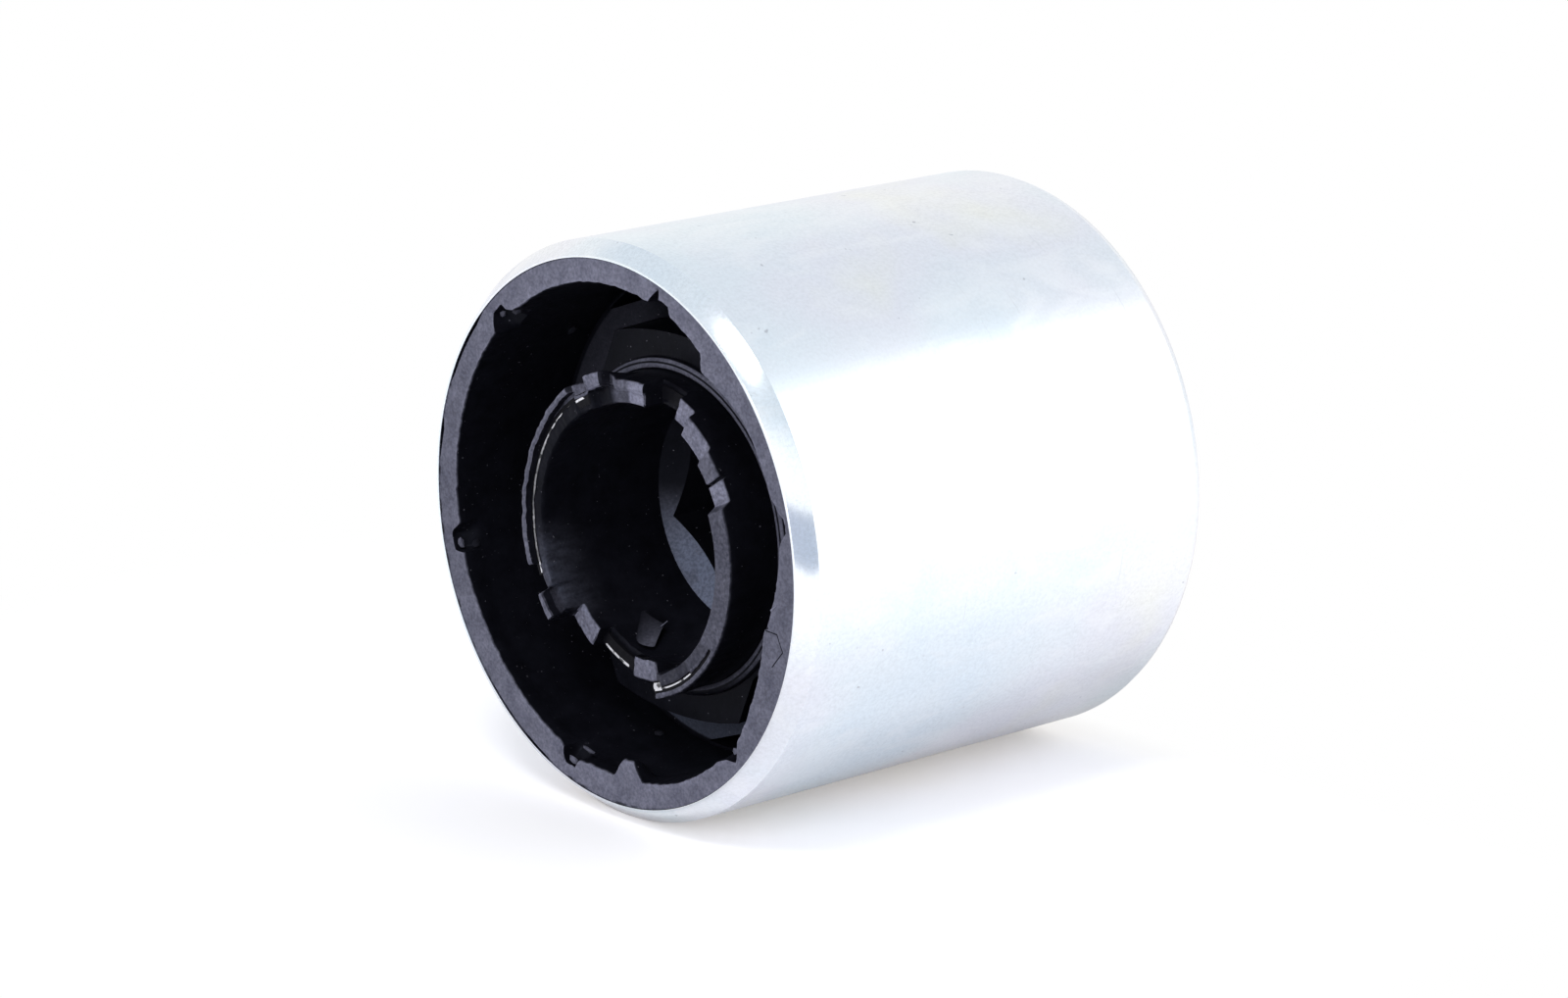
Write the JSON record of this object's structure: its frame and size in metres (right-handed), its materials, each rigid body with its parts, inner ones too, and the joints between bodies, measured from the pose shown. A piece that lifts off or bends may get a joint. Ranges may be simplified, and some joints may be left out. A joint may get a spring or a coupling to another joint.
{
  "type": "control arm bushing",
  "caption": "Cylindrical suspension bush: steel sleeve with a bonded rubber moulding round a steel tube, with a rubber-lined hexagonal hole for a control arm's pin.",
  "frame": {"origin": "centre of the sleeve's back end, on the surface that the bush stands on", "axes": "+Z along the bush's axis, from the back end up to the open end; +Y through the middle of one stop"},
  "size_m": [0.066, 0.066, 0.06],
  "materials": {
    "plated_steel": "bright zinc plate with a faint tint, turned chamfer at the open end",
    "rubber": "matte black moulded rubber",
    "tube_steel": "bare cut steel edge"
  },
  "bodies": {
    "root": {"outer_sleeve": "plated_steel", "rubber_body": "rubber", "inner_tube": "tube_steel"}
  },
  "joints": []
}
